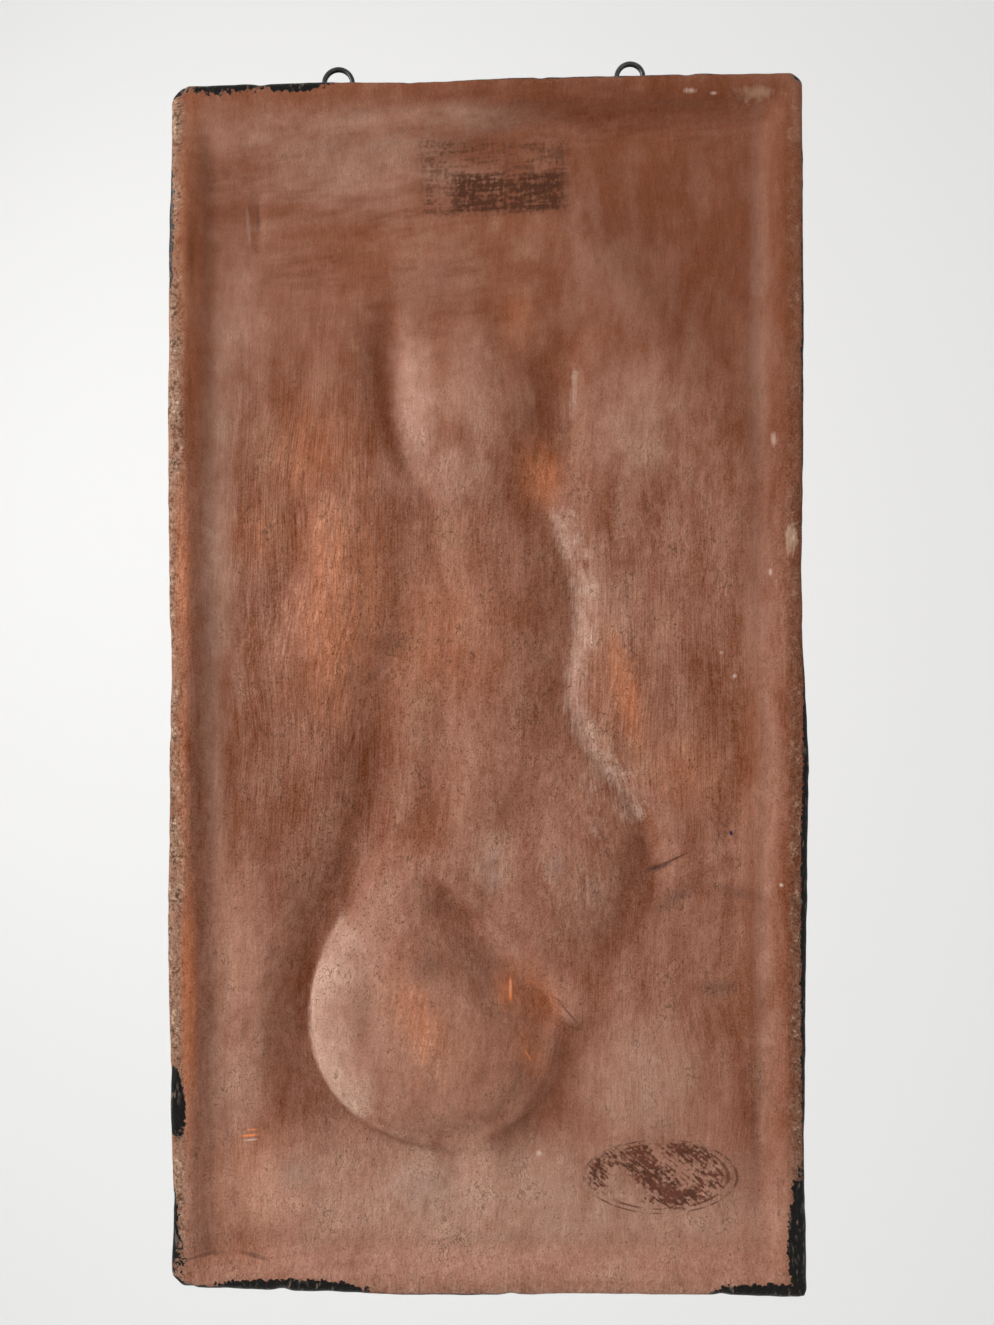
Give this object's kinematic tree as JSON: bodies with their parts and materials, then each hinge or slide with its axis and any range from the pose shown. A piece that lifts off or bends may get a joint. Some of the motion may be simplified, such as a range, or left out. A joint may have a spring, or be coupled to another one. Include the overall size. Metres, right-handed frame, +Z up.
{
  "type": "ceramic wall sculpture",
  "caption": "Tall hand-built clay wall slab with a raised rim, a hollow back and a back-view torso in low relief, hung by wire loops on its top edge.",
  "frame": {"origin": "midway between the inside tops of the two hanging loops, where the hooks bear", "axes": "+Z up along the slab's height, +X to the viewer's right, -Y out of the relief's front, +Y into the wall"},
  "size_m": [0.2643, 0.05, 0.5145],
  "materials": {
    "fired_clay": "unglazed clay with a brushed mauve-brown wash, orange where it wears thin, black paint on the edges",
    "black_wire": "black annealed wire, slightly glossy"
  },
  "bodies": {
    "root": {"relief_slab": "fired_clay", "hanging_loop_left": "black_wire", "hanging_loop_right": "black_wire"}
  },
  "joints": []
}
